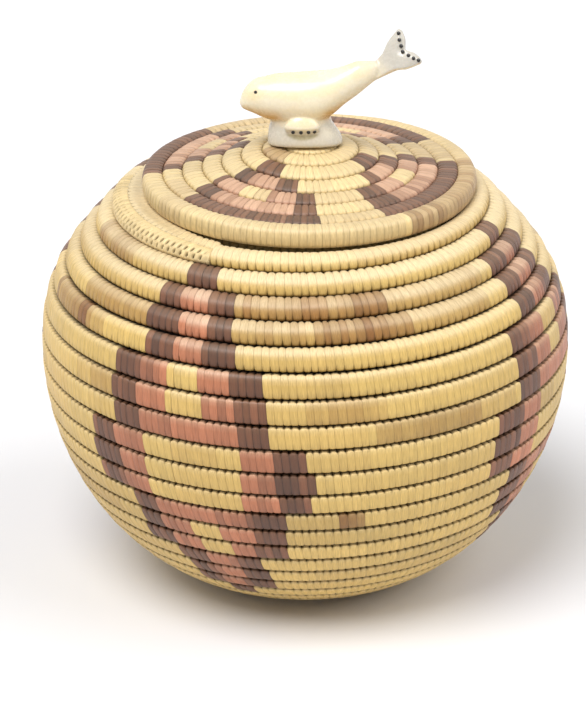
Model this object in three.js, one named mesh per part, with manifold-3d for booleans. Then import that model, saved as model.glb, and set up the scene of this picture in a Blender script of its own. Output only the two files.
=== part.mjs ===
// A round lidded basket of coiled grass, with a carved whale for the lid's knob.
// Millimetres, +Z up. The origin is the middle of the flat underside, and the front faces -Y.
// The wall is one coil of grass that climbs a row in each turn, counterclockwise seen from above.
// Each row of the coil is a piece of its own, cut where the coil's tail ends.
import * as THREE from 'three';
import { mergeVertices } from 'three/addons/utils/BufferGeometryUtils.js';
import Module from 'manifold-3d';

const wasm = await Module();
wasm.setup();

// Driving dimensions of the basket
const coilThickness = 6.8;
const rowGap = 0.3;
const bellyRadius = 75;
const bellyHeight = 69;
const shoulderRadius = 51.8;
const shoulderHeight = 110.2;
const rimRadius = 43.9;
const rimHeight = 113.2;
const baseFlatRadius = 20.5;
const upperPitchRatio = 1.13;
const lineBeyondRim = 2.6;
const lowerRows = 16;
const upperRows = 10;
const tailLeft = 0.6;
const tailStartAngle = -29;

// Driving dimensions of the lid
const lidRadius = 44.2;
const lidRise = 8.7;
const lidSeatAboveRim = 1.2;
const lidSeatHeight = rimHeight + lidSeatAboveRim;
const lidCoilThickness = 6.2;
const lidRowPitch = 5.85;
const lidRows = 8;
const lidCentreExtra = 1;
const seatGap = 0.3;
const flangeThickness = 6.4;
const flangeClearance = 1.2;

// Driving dimensions of the knob
const whaleLength = 39.6;
const whaleHeight = 15;
const whaleDepth = 14;
const padLength = 21;
const padDepth = 14.6;
const padThickness = 2.2;
const bellyAbovePad = 12;
const flukeLength = 10.7;
const flukeSpan = 12;
const flukeThickness = 2.6;
const flukeBevel = 0.5;
const flipperLength = 10.4;
const flipperHeight = 4.2;
const flipperRelief = 1.7;
const pegRadius = 2;
const pegReach = 6;
const pegHeadRadius = 4;
const pegHeadThickness = 1.6;
const fitClearance = 0.3;
const dotRadius = 0.5;
const dotDepth = 1.4;
const dotProud = 0.15;
const dotClearance = 0.1;
const cutOverrun = 1;

// Number of flats round a turn
const turnSteps = 26;
const ringSteps = 26;
const carvedSides = 16;
const flipperSides = 12;
const dotSides = 8;
const curveSamples = 240;

// Colours and finishes
const finish = (color, roughness) => {
  const metalness = 0;
  return new THREE.MeshStandardMaterial({ color, roughness, metalness });
};
const grass = () => finish(0xd9bd72, 0.62);
const ivory = () => finish(0xece4cb, 0.32);
const inlay = () => finish(0x16130f, 0.4);
const pegWood = () => finish(0x8a6a45, 0.6);

// A point at any length along a centre line in the (radius, height) plane, and off it towards the outside.
// The outside lies on the line's right for the wall, and on its left for the lid.
function centreLine(points, outside) {
  const lengths = [0];
  for (let i = 1; i < points.length; i++) lengths.push(lengths[i - 1] + points[i].distanceTo(points[i - 1]));
  const total = lengths[lengths.length - 1];
  const place = (length) => {
    let i = 1;
    while (i < points.length - 1 && lengths[i] < length) i++;
    const along = (length - lengths[i - 1]) / (lengths[i] - lengths[i - 1]);
    return points[i - 1].clone().lerp(points[i], along);
  };
  const probe = total / points.length;
  const normal = (length) => {
    const ahead = place(Math.min(length + probe, total));
    const behind = place(Math.max(length - probe, 0));
    const direction = ahead.sub(behind).normalize();
    return new THREE.Vector2(direction.y, -direction.x).multiplyScalar(outside);
  };
  const offset = (length, out) => place(length).addScaledVector(normal(length), out);
  return { offset, place, total };
}

// The wall's centre line: flat base, belly, shoulder, and a brim that turns in level under the lid's edge
function wallCentreLine() {
  const half = coilThickness / 2;
  const widest = new THREE.Vector2(bellyRadius - half, bellyHeight);
  const baseEdge = new THREE.Vector2(baseFlatRadius, half);
  const shoulder = new THREE.Vector2(shoulderRadius, shoulderHeight);
  const rim = new THREE.Vector2(rimRadius, rimHeight);
  const bowlWidthShare = 0.49;
  const bowlHeightShare = 0.553;
  const shoulderRiseShare = 0.532;
  const shoulderInShare = 0.59;
  const shoulderDropShare = 0.34;
  const brimTurnShare = 0.35;
  const bowlWidth = widest.x - baseEdge.x;
  const bowlHeight = widest.y - baseEdge.y;
  const shoulderWidth = widest.x - shoulder.x;
  const shoulderTall = shoulder.y - widest.y;
  const brimWidth = shoulder.x - rim.x;
  const outward = new THREE.Vector2(shoulderWidth * shoulderInShare, -shoulderTall * shoulderDropShare);
  const turn = outward.clone().normalize().multiplyScalar(-brimWidth * brimTurnShare);
  const bowl = new THREE.CubicBezierCurve(
    baseEdge,
    new THREE.Vector2(baseEdge.x + bowlWidth * bowlWidthShare, baseEdge.y),
    new THREE.Vector2(widest.x, widest.y - bowlHeight * bowlHeightShare),
    widest,
  );
  const upper = new THREE.CubicBezierCurve(
    widest,
    new THREE.Vector2(widest.x, widest.y + shoulderTall * shoulderRiseShare),
    shoulder.clone().add(outward),
    shoulder,
  );
  const brim = new THREE.CubicBezierCurve(
    shoulder,
    shoulder.clone().add(turn),
    new THREE.Vector2(rim.x + brimWidth * brimTurnShare, rim.y),
    rim,
  );
  const path = new THREE.CurvePath();
  path.add(new THREE.LineCurve(new THREE.Vector2(0, half), baseEdge));
  path.add(bowl);
  path.add(upper);
  path.add(brim);
  return centreLine(path.getSpacedPoints(curveSamples), 1);
}

// The lid's centre line: a shallow cone that flattens towards its edge
function lidCentreLine() {
  const half = lidCoilThickness / 2;
  const edgeHeight = lidSeatHeight + half;
  const radiusShares = [0, 0.29, 0.55, 0.81, 1, 1.1];
  const riseShares = [1, 0.73, 0.3, 0.04, 0, 0];
  const points = radiusShares.map(
    (share, i) => new THREE.Vector2(share * lidRadius, edgeHeight + riseShares[i] * lidRise),
  );
  return centreLine(new THREE.SplineCurve(points).getSpacedPoints(curveSamples), -1);
}

const wall = wallCentreLine();
const lidShell = lidCentreLine();

// The wall's rows share out its centre line, and the upper rows are the wider ones
const lowerRowPitch = (wall.total - lineBeyondRim) / (lowerRows + upperRows * upperPitchRatio);
const upperRowPitch = lowerRowPitch * upperPitchRatio;

// Length along the centre line of a row's inner edge, after a number of turns
const wallEdge = (turns) => {
  const low = Math.min(turns, lowerRows);
  const high = Math.max(turns - lowerRows, 0);
  return low * lowerRowPitch + high * upperRowPitch;
};
const lidEdge = (turns) => lidCentreExtra * Math.min(turns, 1) + turns * lidRowPitch;

const around = (radius, height, turns) => {
  const angle = THREE.MathUtils.degToRad(tailStartAngle) + turns * 2 * Math.PI;
  return new THREE.Vector3(radius * Math.sin(angle), -radius * Math.cos(angle), height);
};

// A closed body from rings of equal point counts, with a cap at each end
function loft(rings, startPoint, endPoint) {
  const count = rings[0].length;
  const positions = [];
  rings.forEach((ring) => ring.forEach((point) => positions.push(point.x, point.y, point.z)));
  const index = [];
  for (let i = 0; i < rings.length - 1; i++) {
    for (let j = 0; j < count; j++) {
      const next = (j + 1) % count;
      const a = i * count + j;
      const b = i * count + next;
      index.push(a, b, a + count, b, b + count, a + count);
    }
  }
  const cap = (ring, middle, flip) => {
    const centre = positions.length / 3;
    positions.push(middle.x, middle.y, middle.z);
    for (let j = 0; j < count; j++) {
      const a = ring * count + j;
      const b = ring * count + ((j + 1) % count);
      if (flip) index.push(centre, b, a);
      else index.push(centre, a, b);
    }
  };
  cap(0, startPoint, true);
  cap(rings.length - 1, endPoint, false);
  const geometry = new THREE.BufferGeometry();
  geometry.setAttribute('position', new THREE.Float32BufferAttribute(positions, 3));
  geometry.setIndex(index);
  return faceOut(geometry);
}

// Turns a closed body's triangles round when its volume comes out negative
function faceOut(geometry) {
  const place = geometry.getAttribute('position');
  const index = geometry.getIndex();
  const corner = (k) => new THREE.Vector3().fromBufferAttribute(place, index.getX(k));
  let volume = 0;
  for (let k = 0; k < index.count; k += 3) volume += corner(k).dot(corner(k + 1).cross(corner(k + 2)));
  if (volume < 0) {
    for (let k = 0; k < index.count; k += 3) {
      const kept = index.getX(k + 1);
      index.setX(k + 1, index.getX(k + 2));
      index.setX(k + 2, kept);
    }
  }
  geometry.computeVertexNormals();
  return geometry;
}

const middleOf = (points) => points
  .reduce((sum, point) => sum.add(point), new THREE.Vector3())
  .divideScalar(points.length);

// Half the width of the flat where rows meet, as a share of half the coil's thickness
const meetShare = 0.44;

// The cross section of a row: flat where rows meet, ridged outside and inside
function rowSection(line, inner, outer, half, turns, underFlat) {
  const underShare = 0.4;
  const middle = (inner + outer) / 2;
  const reach = (outer - inner) / 2;
  const meet = half * meetShare;
  const outside = underFlat
    ? [[middle - reach * underShare, half], [middle + reach * underShare, half]]
    : [[middle, half]];
  const profile = [[inner, -meet], [inner, meet], ...outside, [outer, meet], [outer, -meet], [middle, -half]];
  return profile.map(([length, out]) => {
    const place = line.offset(length, out);
    return around(place.x, place.y, turns);
  });
}

// One row of the coil: a full turn, or less where the coil ends
function coilRow({ line, edge, half, row, width, endShare, underFlat }) {
  const radius = line.place(edge(row)).x;
  const gapTurns = rowGap / (2 * Math.PI * radius);
  const sections = [];
  for (let i = 0; i <= turnSteps; i++) {
    let share = (i / turnSteps) * endShare;
    if (i === 0) share = gapTurns / 2;
    if (i === turnSteps) share -= gapTurns / 2;
    const turns = row + share;
    const inner = edge(turns) + rowGap / 2;
    const full = edge(turns + 1) - rowGap / 2 - inner;
    const size = width(share);
    const outer = inner + full * size;
    const slimShare = (1 + size) / 2;
    sections.push(rowSection(line, inner, outer, half * slimShare, turns, underFlat));
  }
  return loft(sections, middleOf(sections[0]), middleOf(sections[turnSteps]));
}

// The tightly wound start of a coil: a snail-shaped button that the first row goes round
function coilStart({ line, edge, half }) {
  const roundShare = 0.3;
  const meet = half * meetShare;
  const bevel = half * roundShare;
  const levels = [[bevel, half], [0, meet], [0, -meet], [bevel, -half]];
  const gapTurns = rowGap / (2 * Math.PI * edge(1));
  const rings = levels.map(([inset, out]) => {
    const ring = [];
    for (let i = 0; i <= turnSteps; i++) {
      let turns = i / turnSteps;
      if (i === 0) turns += gapTurns / 2;
      if (i === turnSteps) turns -= gapTurns / 2;
      const place = line.offset(edge(turns + 1) - rowGap / 2 - inset, out);
      ring.push(around(place.x, place.y, turns));
    }
    return ring;
  });
  const axisPoint = (out) => new THREE.Vector3(0, 0, line.offset(0, out).y);
  return loft(rings, axisPoint(half), axisPoint(-half));
}

// A level ring of coil with a flat top and bottom
function levelRing(radius, bottom, thickness) {
  const half = thickness / 2;
  const flatShare = 0.62;
  const flat = half * flatShare;
  const underside = [[-flat, -half], [flat, -half]];
  const upperSide = [[flat, half], [-flat, half]];
  const outline = [...underside, [half, 0], ...upperSide, [-half, 0], underside[0]];
  const profile = outline.map(([out, up]) => new THREE.Vector2(radius + out, bottom + half + up));
  const geometry = new THREE.LatheGeometry(profile, ringSteps);
  geometry.rotateX(Math.PI / 2);
  return cleaned(geometry);
}

// The same body with its shared vertices merged and its faces out
function cleaned(geometry) {
  geometry.deleteAttribute('normal');
  geometry.deleteAttribute('uv');
  return faceOut(mergeVertices(geometry.index ? geometry : mergeVertices(geometry)));
}

const solid = (geometry) => {
  const mesh = new wasm.Mesh({
    numProp: 3,
    vertProperties: new Float32Array(geometry.getAttribute('position').array),
    triVerts: new Uint32Array(geometry.getIndex().array),
  });
  return new wasm.Manifold(mesh);
};

const geometryOf = (body) => {
  const mesh = body.getMesh();
  const geometry = new THREE.BufferGeometry();
  geometry.setAttribute('position', new THREE.Float32BufferAttribute(mesh.vertProperties, 3));
  geometry.setIndex([...mesh.triVerts]);
  geometry.computeVertexNormals();
  return geometry;
};

// A round bar whose axis goes from a point along a direction
function bar(radius, from, direction, length, sides) {
  const geometry = new THREE.CylinderGeometry(radius, radius, length, sides);
  const turn = new THREE.Quaternion().setFromUnitVectors(new THREE.Vector3(0, 1, 0), direction);
  geometry.applyQuaternion(turn);
  const middle = from.clone().addScaledVector(direction, length / 2);
  geometry.translate(middle.x, middle.y, middle.z);
  return cleaned(geometry);
}

const named = (name, geometry, material) => {
  const mesh = new THREE.Mesh(geometry, material);
  mesh.name = name;
  return mesh;
};

// The basket's rows
const basket = new THREE.Group();
const wallRows = lowerRows + upperRows;
const wallHalf = coilThickness / 2;
const fullWidth = () => 1;

// The last row thins along its turn, then tapers away over its last stretch
const tailWidth = (share) => {
  const taperStartShare = 0.93;
  const slimStartShare = 0.95;
  const tipShare = 0.08;
  const slim = slimStartShare - tailLeft * Math.min(share, taperStartShare);
  const left = Math.max(0, (share - taperStartShare) / (1 - taperStartShare));
  return slim * (1 - left) + tipShare * left;
};

const baseRows = 5;
const rowName = (row) => {
  if (row < baseRows) return `base_row_${row}`;
  if (row === wallRows - 1) return 'rim_row';
  return `wall_row_${String(row - baseRows + 1).padStart(2, '0')}`;
};
const flatRows = Math.floor(baseFlatRadius / lowerRowPitch);

basket.add(named('base_start', coilStart({ line: wall, edge: wallEdge, half: wallHalf }), grass()));
for (let row = 1; row < wallRows; row++) {
  const geometry = coilRow({
    line: wall,
    edge: wallEdge,
    half: wallHalf,
    row,
    width: row === wallRows - 1 ? tailWidth : fullWidth,
    endShare: 1,
    underFlat: row < flatRows,
  });
  basket.add(named(rowName(row), geometry, grass()));
}

// The lid's rows, its peg hole and the ring that keeps it central in the mouth
const lid = new THREE.Group();
const lidHalf = lidCoilThickness / 2;
const lidCrown = lidShell.place(0).y + lidHalf;

// The lid's last row ends before a full turn: it thins as it goes, then tapers away
const lidTailEndShare = 0.7;
const lidTailWidth = (share) => {
  const slimRate = 0.32;
  const taperStartShare = 0.7;
  const tipShare = 0.1;
  const slim = 1 - slimRate * Math.min(share, taperStartShare * lidTailEndShare);
  const left = Math.max(0, (share / lidTailEndShare - taperStartShare) / (1 - taperStartShare));
  return slim * (1 - left) + tipShare * left;
};

const up = new THREE.Vector3(0, 0, 1);
const lidButton = coilStart({ line: lidShell, edge: lidEdge, half: lidHalf });
const lidHole = bar(
  pegRadius + fitClearance,
  new THREE.Vector3(0, 0, lidCrown - lidCoilThickness - cutOverrun),
  up,
  lidCoilThickness + 2 * cutOverrun,
  carvedSides,
);
lid.add(named('lid_start', geometryOf(solid(lidButton).subtract(solid(lidHole))), grass()));
for (let row = 1; row < lidRows; row++) {
  const last = row === lidRows - 1;
  const geometry = coilRow({
    line: lidShell,
    edge: lidEdge,
    half: lidHalf,
    row,
    width: last ? lidTailWidth : fullWidth,
    endShare: last ? lidTailEndShare : 1,
    underFlat: false,
  });
  lid.add(named(last ? 'lid_edge_row' : `lid_row_${row}`, geometry, grass()));
}
const flangeRadius = rimRadius - flangeClearance - flangeThickness / 2;
const flangeBottom = lidSeatHeight - seatGap - flangeThickness;
lid.add(named('lid_flange', levelRing(flangeRadius, flangeBottom, flangeThickness), grass()));

// The whale: a body of elliptical sections from nose to tail stock, heights from the pad's underside
const padBottom = lidShell.offset(pegRadius + fitClearance, lidHalf).y + seatGap;
const noseShare = 0.465;
const noseX = -noseShare * whaleLength;
const stationShares = [0, 0.035, 0.106, 0.182, 0.263, 0.389, 0.54, 0.652, 0.742, 0.833, 0.919, 1];
const middleShares = [0.72, 0.79, 0.85, 0.833, 0.827, 0.807, 0.833, 0.933, 1.073, 1.207, 1.307, 1.4];
const heightShares = [0.13, 0.37, 0.64, 0.79, 0.9, 0.985, 1, 0.865, 0.73, 0.65, 0.505, 0.36];
const depthShares = [0.1, 0.33, 0.62, 0.79, 0.91, 0.985, 1, 0.86, 0.66, 0.5, 0.36, 0.26];

const stationX = (i) => noseX + stationShares[i] * whaleLength;
const section = (x) => {
  let i = 1;
  while (i < stationShares.length - 1 && stationX(i) < x) i++;
  const along = (x - stationX(i - 1)) / (stationX(i) - stationX(i - 1));
  const mix = (shares) => THREE.MathUtils.lerp(shares[i - 1], shares[i], along);
  return {
    middle: padBottom + mix(middleShares) * whaleHeight,
    tall: (mix(heightShares) * whaleHeight) / 2,
    deep: (mix(depthShares) * whaleDepth) / 2,
  };
};

function ellipseRing(sides, pointAt) {
  const ring = [];
  for (let j = 0; j < sides; j++) ring.push(pointAt((j / sides) * 2 * Math.PI));
  return ring;
}

function whaleBody() {
  const rings = stationShares.map((share, i) => {
    const x = stationX(i);
    const { middle, tall, deep } = section(x);
    return ellipseRing(carvedSides, (turn) => new THREE.Vector3(
      x,
      deep * Math.cos(turn),
      middle + tall * Math.sin(turn),
    ));
  });
  return loft(rings, middleOf(rings[0]), middleOf(rings[rings.length - 1]));
}

// The pad under the whale, and the waist that joins it to the belly
function whalePad() {
  const lowHeightShares = [0, 0.45, 1, 1.8];
  const heights = [...lowHeightShares.map((share) => share * padThickness), bellyAbovePad];
  const lengthShares = [0.92, 1, 0.96, 0.8, 0.73];
  const depthRingShares = [0.9, 1, 0.95, 0.82, 0.7];
  const rings = heights.map((height, i) => ellipseRing(carvedSides, (turn) => new THREE.Vector3(
    (padLength / 2) * lengthShares[i] * Math.cos(turn),
    (padDepth / 2) * depthRingShares[i] * Math.sin(turn),
    padBottom + height,
  )));
  return loft(rings, middleOf(rings[0]), middleOf(rings[rings.length - 1]));
}

// The flukes: a thin plate that turns up behind the tail stock and leans back at its upper lobe
const flukeRoot = () => {
  const last = stationShares.length - 1;
  return new THREE.Vector3(stationX(last), 0, section(stationX(last)).middle);
};
const flukeAlong = new THREE.Vector3(0.774, 0, 0.633).normalize();
const flukeAcross = new THREE.Vector3(-0.56, 0.53, 0.56).normalize();
const flukeFace = new THREE.Vector3().crossVectors(flukeAlong, flukeAcross).normalize();
const flukeSide = new THREE.Vector3().crossVectors(flukeFace, flukeAlong).normalize();

function flukePlate() {
  const alongShares = [-0.42, 0.02, 0.26, 0.5, 0.8, 0.97, 1, 0.95, 0.8];
  const acrossShares = [0.34, 0.38, 0.48, 0.76, 0.97, 0.98, 0.84, 0.42, 0];
  const half = alongShares.map((share, i) => new THREE.Vector2(
    share * flukeLength,
    (acrossShares[i] * flukeSpan) / 2,
  ));
  const mirrored = half.slice(0, -1).reverse().map((point) => new THREE.Vector2(point.x, -point.y));
  const depth = flukeThickness - 2 * flukeBevel;
  const geometry = new THREE.ExtrudeGeometry(new THREE.Shape([...half, ...mirrored]), {
    depth,
    bevelEnabled: true,
    bevelThickness: flukeBevel,
    bevelSize: flukeBevel,
    bevelOffset: -flukeBevel,
    bevelSegments: 1,
    curveSegments: 1,
  });
  geometry.translate(0, 0, -depth / 2);
  const root = flukeRoot();
  const frame = new THREE.Matrix4().makeBasis(flukeAlong, flukeSide, flukeFace).setPosition(root);
  geometry.applyMatrix4(frame);
  return cleaned(geometry);
}

// A low oval flipper on each flank of the waist
const flipperForwardShare = 0.05;
const flipperUpShare = 0.4;
const flipperOutShare = 0.43;
const flipperMiddle = (side) => new THREE.Vector3(
  -flipperForwardShare * padLength,
  side * flipperOutShare * padDepth,
  padBottom + flipperUpShare * whaleHeight,
);
function flipper(side) {
  const geometry = new THREE.SphereGeometry(1, flipperSides, flipperSides / 2);
  geometry.scale(flipperLength / 2, flipperRelief, flipperHeight / 2);
  const middle = flipperMiddle(side);
  geometry.translate(middle.x, middle.y, middle.z);
  return cleaned(geometry);
}

// The inlaid dots: where each one sits, and which way it faces
function inlaidDots() {
  const dots = [];
  const eyeXShare = 0.119;
  const eyeHeightShare = 0.5;
  for (const [side, label] of [[-1, 'front'], [1, 'back']]) {
    const x = noseX + eyeXShare * whaleLength;
    const { middle, tall, deep } = section(x);
    const z = middle + eyeHeightShare * tall;
    const y = side * deep * Math.sqrt(1 - ((z - middle) / tall) ** 2);
    const faceLean = -0.45;
    const out = new THREE.Vector3(faceLean, side, 0);
    dots.push({ name: `eye_${label}`, at: new THREE.Vector3(x, y, z), out });
  }
  const flipperShares = [-0.44, -0.02, 0.38, 0.7];
  const dropShare = 0.62;
  for (const [side, label] of [[-1, 'front'], [1, 'back']]) {
    flipperShares.forEach((share, i) => {
      const middle = flipperMiddle(side);
      const bulge = Math.sqrt(Math.max(0, 1 - share ** 2 - dropShare ** 2));
      const at = middle.clone().add(new THREE.Vector3(
        (share * flipperLength) / 2,
        side * flipperRelief * bulge,
        (-dropShare * flipperHeight) / 2,
      ));
      dots.push({ name: `flipper_dot_${label}_${i + 1}`, at, out: new THREE.Vector3(0, side, 0) });
    });
  }
  const alongShares = [0.9, 0.82, 0.77, 0.72, 0.79, 0.86, 0.94];
  const acrossShares = [0.76, 0.48, 0.2, -0.06, -0.38, -0.64, -0.86];
  alongShares.forEach((share, i) => {
    const at = flukeRoot()
      .addScaledVector(flukeAlong, share * flukeLength)
      .addScaledVector(flukeSide, (acrossShares[i] * flukeSpan) / 2)
      .addScaledVector(flukeFace, flukeThickness / 2);
    dots.push({ name: `fluke_dot_${i + 1}`, at, out: flukeFace.clone() });
  });
  return dots;
}

const pegTop = padBottom + pegReach;
const underButton = lidShell.offset(0, -lidHalf);
const buttonSkirt = lidShell.offset(lidEdge(2), -lidHalf);
const pegFoot = underButton.lerp(buttonSkirt, pegHeadRadius / buttonSkirt.x).y - seatGap;
const pegHole = bar(
  pegRadius + fitClearance,
  new THREE.Vector3(0, 0, padBottom - cutOverrun),
  up,
  pegReach + fitClearance + cutOverrun,
  carvedSides,
);

const dots = inlaidDots();
let carving = solid(whaleBody())
  .add(solid(whalePad()))
  .add(solid(flukePlate()))
  .add(solid(flipper(-1)))
  .add(solid(flipper(1)))
  .subtract(solid(pegHole));
for (const dot of dots) {
  dot.out.normalize();
  const foot = dot.at.clone().addScaledVector(dot.out, -dotDepth);
  const seat = bar(dotRadius + dotClearance, foot, dot.out, dotDepth + cutOverrun, dotSides);
  carving = carving.subtract(solid(seat));
}
lid.add(named('whale_carving', geometryOf(carving), ivory()));
for (const dot of dots) {
  const foot = dot.at.clone().addScaledVector(dot.out, dotClearance - dotDepth);
  const plug = bar(dotRadius, foot, dot.out, dotDepth - dotClearance + dotProud, dotSides);
  lid.add(named(dot.name, plug, inlay()));
}

// The peg that holds the carving: a shank through the lid and a flat head under it
const headFoot = new THREE.Vector3(0, 0, pegFoot - pegHeadThickness);
const shankFoot = new THREE.Vector3(0, 0, pegFoot - pegHeadThickness / 2);
const head = bar(pegHeadRadius, headFoot, up, pegHeadThickness, carvedSides);
const shank = bar(pegRadius, shankFoot, up, pegTop - shankFoot.z, carvedSides);
lid.add(named('knob_peg', geometryOf(solid(head).add(solid(shank))), pegWood()));

const group = new THREE.Group();
group.add(basket);
group.add(lid);

export default group;
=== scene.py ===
import math

import bmesh
import bpy
import numpy as np
from mathutils import Matrix, Vector


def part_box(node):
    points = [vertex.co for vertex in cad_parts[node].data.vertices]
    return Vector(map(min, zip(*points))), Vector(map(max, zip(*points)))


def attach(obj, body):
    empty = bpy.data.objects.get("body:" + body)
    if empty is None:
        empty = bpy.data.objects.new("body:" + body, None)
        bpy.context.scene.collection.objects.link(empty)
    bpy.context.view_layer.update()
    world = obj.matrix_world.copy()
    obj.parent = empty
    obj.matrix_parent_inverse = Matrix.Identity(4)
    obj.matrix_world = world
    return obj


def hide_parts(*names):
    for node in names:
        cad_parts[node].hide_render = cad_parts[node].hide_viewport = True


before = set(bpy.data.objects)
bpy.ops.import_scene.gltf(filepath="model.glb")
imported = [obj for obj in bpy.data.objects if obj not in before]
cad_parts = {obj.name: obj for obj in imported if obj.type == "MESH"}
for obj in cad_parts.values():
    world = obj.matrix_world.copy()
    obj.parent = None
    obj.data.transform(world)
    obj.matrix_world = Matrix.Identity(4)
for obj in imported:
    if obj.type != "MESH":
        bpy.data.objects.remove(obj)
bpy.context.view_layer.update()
scene = bpy.context.scene
scene.view_settings.view_transform = "Standard"

MM = 0.001


def placed(name, data):
    made = bpy.data.objects.new(name, data)
    scene.collection.objects.link(made)
    return made


# ---- camera
# It looks down, at an angle in radians, on the middle of the widest row. The last two turns bring the basket to
# its place in the frame
LOOK_DOWN = 0.41015
CAMERA_DISTANCE = 1.0551
CAMERA_LENS = 184.45
CAMERA_SENSOR = 36
EQUATOR_HEIGHT = 0.0673
TURN_LEFT = math.radians(0.1886)
TIP_DOWN = math.radians(0.2744)


def make_camera():
    camera = placed("camera", bpy.data.cameras.new("camera"))
    camera.data.sensor_width = CAMERA_SENSOR
    camera.data.lens = CAMERA_LENS
    camera.data.clip_start = 0.01
    camera.data.clip_end = 100
    back = Vector((0, -math.cos(LOOK_DOWN), math.sin(LOOK_DOWN)))
    place = Vector((0, 0, EQUATOR_HEIGHT)) + CAMERA_DISTANCE * back
    level = Matrix.Rotation(math.pi / 2 - LOOK_DOWN, 4, "X")
    aim = Matrix.Rotation(TURN_LEFT, 4, "Y") @ Matrix.Rotation(-TIP_DOWN, 4, "X")
    camera.matrix_world = Matrix.Translation(place) @ level @ aim
    scene.camera = camera


make_camera()


# ---- small helpers
def linear(*srgb):
    """A colour given as it looks, 0 to 255, in the linear values that a shader takes."""
    shares = (c / 255 for c in srgb)
    return np.array([c / 12.92 if c <= 0.04045 else ((c + 0.055) / 1.055) ** 2.4 for c in shares])


def mixed(first, second, share):
    return first + (second - first) * share


def finished(node, mesh, body, slot):
    """A mesh as a named piece that rides on a body and stands for one CAD node."""
    ending, material = FINISHES[slot]
    mesh.name = f"{node}_{ending}"
    piece = placed(mesh.name, mesh)
    mesh.materials.clear()
    mesh.materials.append(material)
    mesh.polygons.foreach_set("use_smooth", [True] * len(mesh.polygons))
    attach(piece, body)
    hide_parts(node)


def mesh_from(bm, name):
    mesh = bpy.data.meshes.new(name)
    bm.to_mesh(mesh)
    bm.free()
    return mesh


def points_of(mesh, what="co"):
    """The places of a mesh's points, or with "normal" the ways that they face."""
    values = np.empty(len(mesh.vertices) * 3)
    mesh.vertices.foreach_get(what, values)
    return values.reshape(-1, 3)


def corners_of(mesh):
    """The number of the point at each corner of each face."""
    vertex = np.empty(len(mesh.loops), int)
    mesh.loops.foreach_get("vertex_index", vertex)
    return vertex


def rounded(x):
    """A smooth rise from 0 to 1."""
    x = np.clip(x, 0, 1)
    return x * x * (3 - 2 * x)


# ---- material nodes
class Nodes:
    """A node tree that is filled from code."""

    def __init__(self, tree):
        self.tree = tree

    def fill(self, node, inputs):
        """Links an input to a socket, or sets it to a plain value."""
        for key, value in inputs.items():
            if isinstance(value, bpy.types.NodeSocket):
                self.tree.links.new(value, node.inputs[key])
            else:
                node.inputs[key].default_value = value

    def add(self, kind, inputs=None, **settings):
        node = self.tree.nodes.new("ShaderNode" + kind)
        for key, value in settings.items():
            setattr(node, key, value)
        self.fill(node, inputs or {})
        return node

    def math(self, operation, *values):
        return self.add("Math", dict(enumerate(values)), operation=operation).outputs[0]

    def times(self, first, second):
        return self.math("MULTIPLY", first, second)

    def minus(self, first, second):
        return self.math("SUBTRACT", first, second)

    def mix(self, share, first, second, blend_type="MIX"):
        """A Mix node takes its colours in sockets 6 and 7, and gives one in socket 2."""
        inputs = {0: share, 6: first, 7: second}
        return self.add("Mix", inputs, data_type="RGBA", blend_type=blend_type).outputs[2]

    def between(self, value, low, high, to_low=0.0, to_high=1.0):
        inputs = {"Value": value, "From Min": low, "From Max": high, "To Min": to_low, "To Max": to_high}
        return self.add("MapRange", inputs, clamp=True).outputs[0]

    def noise(self, vector, scale, detail=2.0, roughness=0.5):
        inputs = {"Vector": vector, "Scale": scale, "Detail": detail, "Roughness": roughness}
        return self.add("TexNoise", inputs).outputs["Fac"]

    def bump(self, height, strength, depth):
        return self.add("Bump", {"Height": height, "Strength": strength, "Distance": depth * MM}).outputs[0]

    def place(self):
        return self.add("TexCoord").outputs["Object"]


def new_material(name):
    material = bpy.data.materials.new(name)
    material.use_nodes = True
    return material, Nodes(material.node_tree), material.node_tree.nodes["Principled BSDF"]


def handled_group():
    """Fine tone changes, and the dirt that years of handling leave: used by every finish."""
    group = bpy.data.node_groups.new("handled", "ShaderNodeTree")
    for key, kind in (("Colour", "Color"), ("Vector", "Vector"), ("Scale", "Float"), ("Amount", "Float")):
        group.interface.new_socket(key, in_out="INPUT", socket_type="NodeSocket" + kind)
    for key, kind in (("Colour", "Color"), ("Height", "Float")):
        group.interface.new_socket(key, in_out="OUTPUT", socket_type="NodeSocket" + kind)
    nodes = Nodes(group)
    given, result = group.nodes.new("NodeGroupInput").outputs, group.nodes.new("NodeGroupOutput")
    cloud = nodes.noise(given["Vector"], given["Scale"], 4.0, 0.6)
    swing = nodes.times(nodes.minus(cloud, 0.5), given["Amount"])
    level = nodes.math("ADD", nodes.times(swing, 2.0), 1.0)
    shade = nodes.add("CombineColor", {"Red": level, "Green": level, "Blue": level})
    colour = nodes.mix(1.0, given["Colour"], shade.outputs[0], "MULTIPLY")
    nodes.fill(result, {"Colour": colour, "Height": cloud})
    return group


HANDLED = handled_group()


def handled(nodes, colour, vector, scale, amount):
    node = nodes.add("Group", {"Colour": colour, "Vector": vector, "Scale": scale, "Amount": amount},
                     node_tree=HANDLED)
    return node.outputs["Colour"], node.outputs["Height"]


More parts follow.
